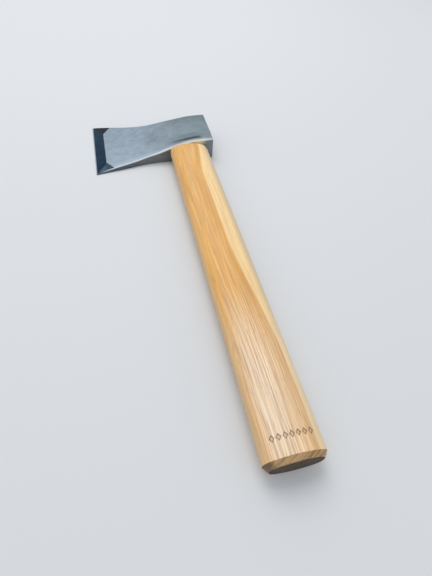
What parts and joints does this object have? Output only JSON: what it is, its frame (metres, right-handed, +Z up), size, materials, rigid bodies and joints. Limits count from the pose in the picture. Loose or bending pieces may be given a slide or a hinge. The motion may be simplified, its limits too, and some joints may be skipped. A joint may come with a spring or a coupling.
{
  "type": "carving hatchet",
  "caption": "Carving hatchet: flat-backed steel head with a single bevel and a hammer poll, wedged on a straight flat-oval wooden handle.",
  "frame": {"origin": "middle of the bounding box, on the plane that the flat back of the head rests on", "axes": "+Y along the handle from the butt to the head, +X from the cutting edge to the hammer poll, +Z up from the flat back"},
  "size_m": [0.118, 0.3804, 0.0212],
  "materials": {
    "head_steel": "satin ground faces with a bright rim and a polished bevel",
    "handle_wood": "sanded, clear oil finish",
    "wedge_wood": "sawn end grain",
    "wedge_steel": "mill"
  },
  "bodies": {
    "root": {"head": "head_steel", "handle": "handle_wood", "eye_wedge": "wedge_wood", "steel_wedges": "wedge_steel"}
  },
  "joints": []
}
